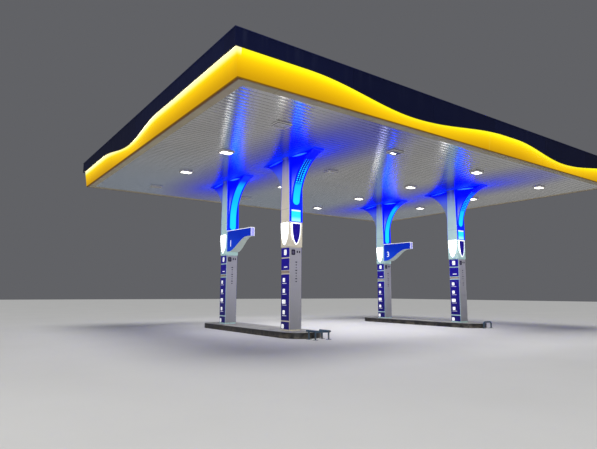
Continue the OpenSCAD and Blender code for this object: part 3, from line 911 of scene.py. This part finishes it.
def ceiling_panels(material):
    """The linear panels of the ceiling, which run along the roof and stop at its lamps and columns."""
    low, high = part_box("ceiling")
    pitch = (high.y - low.y) / PANEL_COUNT
    half = (pitch - PANEL_GAP) / 2
    sliver = 0.004
    shape = bmesh.new()

    def run(x0, x1, y0, y1, middle):
        profile = panel_profile(y0, y1, middle, half)
        loft(shape, [[(x, y, z) for y, z in profile] for x in (x0, x1)])

    for i in range(PANEL_COUNT):
        middle = low.y + pitch * (i + 0.5)
        y0, y1 = middle - half, middle + half
        met = sorted(c for c in ceiling_cuts() if c[2] < y1 and c[3] > y0)
        x = low.x
        for left, right, near, far in met:
            run(x, left, y0, y1, middle)
            if near > y0 + sliver:
                run(left, right, y0, near, middle)
            if far < y1 - sliver:
                run(left, right, far, y1, middle)
            x = right
        run(x, high.x, y0, y1, middle)
    piece = make_piece("ceiling_panels", shape, material, "ceiling_white", "ceiling", sharp=50)
    # With its texture space centred far off, the ceiling's own tangent lies along Y all over, and the
    # anisotropic gloss stretches reflections across the panels
    piece.data.use_auto_texspace = False
    piece.data.texspace_location = (1000, 0, 0)
    return piece


def ceiling_backing(material):
    """A dark sheet above the panels, as painted shade that shows in their gaps."""
    (x0, y0, _), (x1, y1, _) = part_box("ceiling")
    z = CEILING_Z + PANEL_UP + 0.002
    shape = bmesh.new()
    block(shape, (x0, y0, z), (x1, y1, z + 0.004))
    return make_piece("ceiling_felt", shape, material, "roof_steel")


def lamp_glass(name, places, material, slot, stands_for):
    """Pillow-shaped covers of the lamps, with round corners."""
    half_l, half_w = LAMP_HALF_L - 0.002, LAMP_HALF_W - 0.002
    top, rim, depth = CEILING_Z - 0.026, CEILING_Z - 0.032, 0.008

    def squared(value):
        return copysign(abs(value) ** (2 / 7), value)

    shape = bmesh.new()
    for i, j in places:
        cx, cy = i * LAMP_X, j * LAMP_Y
        rings = []
        for size in (1, 0.985, 0.93, 0.8, 0.6, 0.35, 0.1):
            w, d, z = half_l * size, half_w * size, rim - depth * (1 - size ** 4)
            rings.append([(cx + squared(c) * w, cy + squared(s) * d, z) for c, s in circle(40)])
        loft(shape, [[(x, y, top) for x, y, _ in rings[0]]] + rings)
    return make_piece(name, shape, material, slot, stands_for)


def curve_point(angle):
    """A point of the bracket's curve: distance from the column's axis, height, and direction out."""
    a = radians(angle)
    point = Vector((SHAFT_D / 2 + PLATE + CURVE_REACH * (1 - cos(a)), CURVE_Z + CURVE_RISE * sin(a)))
    return point, Vector((CURVE_RISE * cos(a), -CURVE_REACH * sin(a))).normalized()


def arc_path(foot):
    """Stations of a light strip from its round foot up: place, direction out, length so far and angle."""
    half = STRIP_W / 2
    start, ahead = curve_point(0)
    heights = [foot + half * (1 - cos(radians(a))) for a in range(0, 90, 10)]
    heights += spaced(foot + half, max(foot + half, CURVE_Z), 0.06)
    path = [(Vector((start.x, z)), ahead, 0) for z in heights]
    first = 0 if foot + half <= CURVE_Z else degrees(asin((foot + half - CURVE_Z) / CURVE_RISE))
    path += [(*curve_point(angle), angle) for angle in spaced(first, STRIP_END, 3)[1:]]
    lengths = [0]
    for (p, *_), (q, *_) in zip(path, path[1:]):
        lengths.append(lengths[-1] + (q - p).length)
    return [(p, n, length, angle) for (p, n, angle), length in zip(path, lengths)]


def faces_of(number):
    """The two bracket faces of a column: whether a flag hangs there, and how a local point is placed."""
    cx, cy = COLUMNS[number]
    for side in (-1, 1):
        flagged = number in FLAGGED and side < 0
        yield flagged, lambda x, out, z, side=side: Vector((cx - side * x, cy + side * out, z))


def open_faces():
    """The bracket faces without a flag, which have a window, a shield and light modules."""
    return [place for number in COLUMNS for flagged, place in faces_of(number) if not flagged]


def arc_lenses(number, material):
    """The crowned opal covers on the two curves of a column."""
    shape = bmesh.new()
    rise = shape.verts.layers.float.new("rise")
    across = shape.verts.layers.float.new("across")
    beaded = shape.verts.layers.float.new("beaded")
    half = STRIP_W / 2
    steps = [t / 4 for t in range(-4, 5)]
    for flagged, place in faces_of(number):
        path = arc_path(FLAG_STRIP_FOOT if flagged else STRIP_FOOT)
        rings = []
        for p, n, length, _ in path:
            wide = half if length >= half else sqrt(max(4e-6, half ** 2 - (half - length) ** 2))
            lifts = [(t * wide, LENS_RIM + LENS_CROWN * (1 - t * t) * wide / half) for t in steps]
            lifts += [(wide, LENS_BACK), (-wide, LENS_BACK)]
            rings.append([place(x, p.x + n.x * lift, p.y + n.y * lift) for x, lift in lifts])
        for ring, (*_, angle) in zip(loft(shape, rings), path):
            for vertex, t in zip(ring, steps + [1, -1]):
                vertex[rise] = angle / 90
                vertex[across] = t
                vertex[beaded] = 0 if flagged else 1
    return make_piece(f"arc_lenses_{number}", shape, material, "arc_light", f"arc_lights_{number}")


def dome(shape, centre, up, radius, height, sides=8):
    """A low dome on a surface."""
    turn = up.to_track_quat("Z", "Y")
    rings = []
    for share in (1, 0.72, 0.3):
        r, lift = radius * share, height * sqrt(1 - share * share)
        rings.append([centre + turn @ Vector((r * c, r * s, lift)) for c, s in circle(sides)])
    loft(shape, rings)


def arc_leds(material):
    """Rows of light modules on the middle part of each strip that stands over a window."""
    shape = bmesh.new()
    path = arc_path(STRIP_FOOT)
    for place in open_faces():
        for (p, n, start, _), (q, m, end, angle) in zip(path, path[1:]):
            if not LED_FROM < angle < LED_TO:
                continue
            at = ceil(start / LED_PITCH) * LED_PITCH
            while at < end:
                share = (at - start) / (end - start)
                spot, normal = p.lerp(q, share), n.lerp(m, share).normalized()
                up = place(0, normal.x, normal.y) - place(0, 0, 0)
                for x in LED_ROWS:
                    lift = LENS_RIM - 0.001 + LENS_CROWN * (1 - (2 * x / STRIP_W) ** 2)
                    centre = place(x, spot.x + normal.x * lift, spot.y + normal.y * lift)
                    dome(shape, centre, up, LED_RADIUS, LED_HEIGHT)
                at += LED_PITCH
    return make_piece("arc_light_modules", shape, material, "arc_light")


def shield_outline(width, low, high):
    """Outline of a shield: places across it and heights."""
    right = []
    for i in range(17):
        u = i / 16
        right.append((width / 2 * (1 - u ** 2.4) ** 0.65, high - (high - low) * u))
    return right + [(-x, z) for x, z in right[-2::-1]]


def shield_fields(material):
    """Dark blue fields on the shields that look along the lanes, which leave a white rim."""
    shape = bmesh.new()
    outline = shield_outline(SHIELD_W - 0.06, SHIELD_Z + 0.045, SHIELD_Z + SHIELD_H - 0.035)
    out = SHAFT_D / 2 + SHIELD_T
    for place in open_faces():
        loft(shape, [[place(x, y, z) for x, z in outline] for y in (out, out + 0.002)])
    return make_piece("shield_fields", shape, material, "side_navy")


def rounded_plate(shape, place, x, z, width, height, radius, out):
    """A thin plate with round corners on a face: place turns across, out and up into a point."""
    outline = []
    for k, (sx, sz) in enumerate(((1, 1), (-1, 1), (-1, -1), (1, -1))):
        for step in range(5):
            a = radians(90 * k + 22.5 * step)
            outline.append((
                x + sx * (width / 2 - radius) + radius * cos(a),
                z + sz * (height / 2 - radius) + radius * sin(a),
            ))
    loft(shape, [[place(px, y, pz) for px, pz in outline] for y in (out, out + 0.0015)])


def x_faces():
    """The faces of the columns that look along the roof: how a local point is placed."""
    for cx, cy in COLUMNS.values():
        for side in (-1, 1):
            yield lambda x, out, z, side=side, cx=cx, cy=cy: Vector((cx + side * out, cy + side * x, z))


def sign_marks(white, ink, grey, tan):
    """Plain marks in the places of the small symbols, and the pale bar, on the panels of the columns."""
    # Each mark: its place across the panel and height, and its width, height and corner radius
    side_marks = [(0.0, 2.70, 0.15, 0.18, 0.03), (0.03, 2.22, 0.2, 0.03, 0.01)]
    for z, width in ((1.80, 0.13), (1.45, 0.13), (1.10, 0.2), (0.76, 0.13)):
        side_marks += [(-0.07, z, width, 0.13, 0.018), (-0.04, z - 0.11, 0.24, 0.012, 0.004)]
    side_marks.append((-0.13, 0.31, 0.13, 0.14, 0.018))
    face_marks = [(-0.1, 2.7, 0.15, 0.18, 0.03)]
    face_marks += [(x, 2.72, 0.05, 0.07, 0.01) for x in (0.06, 0.15)]
    face_marks += [(0.02, 2.38 - 0.09 * i, 0.07 - 0.02 * (i % 3), 0.035, 0.008) for i in range(8)]
    squares, bars, frames, centres = (bmesh.new() for _ in range(4))
    out = LOWER / 2 + PLATE
    for place in x_faces():
        for mark in side_marks:
            rounded_plate(squares, place, *mark, out)
        rounded_plate(bars, place, 0, 2.0575, 0.44, 0.07, 0.01, out)
    for number in COLUMNS:
        for _, place in faces_of(number):
            for mark in face_marks:
                rounded_plate(frames, place, *mark, out)
            rounded_plate(centres, place, -0.1, 2.7, 0.07, 0.1, 0.012, out + 0.001)
    make_piece("side_marks", squares, white, "border_white")
    make_piece("side_bars", bars, tan, "border_white")
    make_piece("face_marks", frames, ink, "side_navy")
    make_piece("face_mark_centres", centres, grey, "face_grey")


def flag_trims(material):
    """White edging along the top of each flag, and down the edges of its end."""
    proud, edge, strip = 0.004, 0.018, 0.014
    shape = bmesh.new()
    for number in FLAGGED:
        cx, cy = COLUMNS[number]
        root = cy - SHAFT_D / 2
        end = root - FLAG_L
        low, high = FLAG_TOP - edge, FLAG_TOP + proud
        rings = []
        for width, y in ((FLAG_ROOT_W, root - 0.002), (FLAG_TIP_W, end - proud)):
            w = width / 2 + proud
            rings.append([(cx - w, y, low), (cx + w, y, low), (cx + w, y, high), (cx - w, y, high)])
        loft(shape, rings)
        for x in (cx - w, cx + w - strip):
            block(shape, (x, end - proud, FLAG_TOP - FLAG_TIP_H), (x + strip, end + 0.01, low))
    return rounded(make_piece("flag_trims", shape, material, "shield_sign"), 0.003)


def flag_numbers(material):
    """The plain number of each flag's lane, on both of its sides."""
    lean = atan2((FLAG_ROOT_W - FLAG_TIP_W) / 2, FLAG_L)
    back, height = 0.25, 3.19
    half = FLAG_ROOT_W / 2 - (FLAG_ROOT_W - FLAG_TIP_W) / 2 * back / FLAG_L
    for number in FLAGGED:
        cx, cy = COLUMNS[number]
        for side in (-1, 1):
            text = bpy.data.curves.new(f"flag_number_{number}", "FONT")
            text.body = str(number)
            text.size = 0.37
            text.extrude = 0.002
            text.align_x = "CENTER"
            text.materials.append(material)
            piece = placed(f"flag_number_{number}_{'left' if side < 0 else 'right'}", text)
            face = Vector((side * cos(lean), -sin(lean), 0))
            up = Vector((0, 0, 1))
            turn = Matrix((up.cross(face), up, face)).transposed().to_4x4()
            spot = Vector((cx + side * half, cy - SHAFT_D / 2 - back, height))
            piece.matrix_world = Matrix.Translation(spot) @ turn
            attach(piece, "root")


def foot_seals(material):
    """Sealant in the joint between each island and the feet of its columns."""
    bottom, top, half, gap = 0.15, 0.177, LOWER / 2, 0.01
    shape = bmesh.new()
    for cx, cy in COLUMNS.values():
        for side in (-1, 1):
            x0, x1 = sorted((cx + side * half, cx + side * (half + gap)))
            y0, y1 = sorted((cy + side * half, cy + side * (half + gap)))
            block(shape, (x0, cy - half - gap, bottom), (x1, cy + half + gap, top))
            block(shape, (cx - half, y0, bottom), (cx + half, y1, top))
    return make_piece("foot_seals", shape, material, "kerb_steel")


def hexagon_head(shape, centre, radius, height):
    """A washer with a bolt head on it."""
    x, y, z = centre
    washer = 0.003
    for sides, r, low, high in ((16, radius * 1.7, 0, washer), (6, radius, washer, height)):
        loft(shape, [[(x + r * c, y + r * s, z + level) for c, s in circle(sides)] for level in (low, high)])


def guard_bolts(material):
    """Anchor bolts through the foot plates of the guards."""
    shape = bmesh.new()
    for cx, legs in GUARD_LEGS:
        for side, y, bx, by in product((-1, 1), legs, (-BOLT_OUT, BOLT_OUT), (-BOLT_OUT, BOLT_OUT)):
            hexagon_head(shape, (cx + side * GUARD_HALF_W + bx, y + by, BOLT_BASE), 0.008, 0.012)
    return make_piece("guard_bolts", shape, material, "gutter_steel")


def roof_screws(material):
    """Sealed screws through the crowns of the roof sheets, over each line of support."""
    rib_pitch, edge, fall = 0.3, 6.84, 0.18 / 6.44
    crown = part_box("roof_sheet_back")[1].z
    up = Vector((0, 0, 1))
    shape = bmesh.new()
    for side in (-1, 1):
        for y in spaced(0.35, 6.7, 1.3):
            z = crown - fall * (edge - y) - 0.001
            for i in range(-30, 31):
                dome(shape, Vector((i * rib_pitch, side * y, z)), up, 0.009, 0.005, 6)
    return make_piece("roof_screws", shape, material, "gutter_steel")


def dress(material, *names):
    """Gives CAD nodes their finish."""
    for name in names:
        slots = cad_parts[name].data.materials
        slots.clear()
        slots.append(material)


def make_floor():
    """A plain pale floor under the canopy, which isn't part of it."""
    shape = bmesh.new()
    bmesh.ops.create_grid(shape, x_segments=1, y_segments=1, size=90)
    mesh = as_mesh("floor", shape)
    f = Finish("pale_floor")
    pale = f.mix(f.noise(0.4, 3), (190, 190, 188), (200, 200, 198))
    mesh.materials.append(f.done(pale, 0.85))
    placed("floor", mesh)


def make_camera():
    """The camera of the photograph."""
    forward = Vector((cos(YAW) * cos(PITCH), sin(YAW) * cos(PITCH), sin(PITCH)))
    data = bpy.data.cameras.new("camera")
    data.sensor_width = SENSOR_W
    data.lens = FOCAL_PX / IMAGE_W * SENSOR_W
    data.clip_end = 400
    camera = placed("camera", data)
    camera.rotation_mode = "QUATERNION"
    camera.location = EYE
    camera.rotation_quaternion = forward.to_track_quat("-Z", "Y") @ Quaternion((0, 0, 1), ROLL)
    scene.camera = camera


def make_light(name, place, target, size, power, colour):
    """A large soft lamp."""
    data = bpy.data.lights.new(name, "AREA")
    data.shape = "DISK"
    data.size = size
    data.energy = power
    data.color = colour
    lamp = placed(name, data)
    lamp.location = place
    lamp.rotation_mode = "QUATERNION"
    lamp.rotation_quaternion = (Vector(target) - Vector(place)).to_track_quat("-Z", "Y")
    return lamp


def make_studio():
    """Plain soft studio light: an even grey surround, two large lamps and a soft sun."""
    world = bpy.data.worlds.new("studio")
    world.use_nodes = True
    world.node_tree.nodes["Background"].inputs["Color"].default_value = (0.12, 0.122, 0.132, 1)
    scene.world = world
    make_light("key", (-26, -24, 8), (0, 0, 3), 14, 4200, (1, 0.98, 0.95))
    fill = make_light("fill", (0, 0, CEILING_Z - 0.1), (0, 0, 0), 13, 600, (1, 0.98, 0.92))
    fill.data.spread = radians(100)
    fill.visible_camera = fill.visible_glossy = False
    sun = bpy.data.lights.new("overhead", "SUN")
    sun.energy = 2.0
    sun.angle = radians(30)
    placed("overhead", sun)
    scene.view_settings.view_transform = "Standard"


make_camera()
make_studio()
make_floor()

navy = navy_panel()
band = lit_yellow()
for side in SIDES:
    fascia_sheets(side, navy)
    band_sheets(side, band)
# Dark sealant for the seals, also the dark sheet of painted shade above the ceiling panels
gasket = painted("gasket", (12, 12, 16), 0.7)
fascia_gaskets(gasket)
dress(painted("capping_metal", (30, 36, 78), 0.36, Metallic=0.2), "capping")
dress(glowing("wave_light", (255, 246, 200), 5.0), "wave_light_strips")
dress(border_white(), "soffit_border")

ceiling_panels(ceiling_white())
ceiling_backing(gasket)
dress(lamp_rim(), "downlight_frames")
lit_places = [p for p in LAMP_PLACES if p not in UNLIT]
lamp_glass("lamp_glass_lit", lit_places, lit_glass(), "lamp_lens_on", "downlight_lenses_on")
lamp_glass("lamp_glass_unlit", UNLIT, unlit_glass(), "lamp_lens_off", "downlight_lenses_off")

steel = steel_paint()
dress(steel, "edge_beams", "cross_beams", "main_girders", "ceiling_rails")
dress(sheet_coat(), "roof_sheet_front", "roof_sheet_back")
zinc = galvanised()
dress(zinc, "roof_gutter")
roof_screws(zinc)

cladding = column_white()
bracket = bracket_blue()
lens = arc_lens()
for number in COLUMNS:
    dress(cladding, f"column_{number}")
    dress(bracket, f"brackets_{number}")
    arc_lenses(number, lens)
arc_leds(module_glow())
dress(cove_glow(), "cove_lights")
dress(window_glow(), "glow_panels")
dress(shield_white(), "shield_signs")
side_navy = printed("side_navy", (26, 16, 136), (17, 11, 92), (30, 14, 150), 0.3)
dress(side_navy, "side_panels")
dress(printed("face_grey", (164, 163, 172), (146, 147, 152), (96, 96, 112), 0.3), "face_panels")
shield_fields(side_navy)
mark_white = glowing("mark_white", (232, 234, 240), 0.6)
ink = painted("mark_ink", (26, 20, 52), 0.4, Specular_IOR_Level=0.2)
grey = painted("mark_grey", (96, 92, 116), 0.4, Specular_IOR_Level=0.2)
sign_marks(mark_white, ink, grey, painted("bar_tan", (176, 158, 140), 0.4))

dress(flag_blue(), "flag_1", "flag_3")
flag_trims(mark_white)
flag_numbers(mark_white)

dress(concrete(), "island_left", "island_right")
dress(worn_paint("kerb_steel", (15, 16, 18), (34, 32, 30), 5.0), "island_kerbs")
dress(worn_paint("guard_steel", (50, 74, 94), (112, 102, 92)), "guards")
foot_seals(gasket)
guard_bolts(zinc)
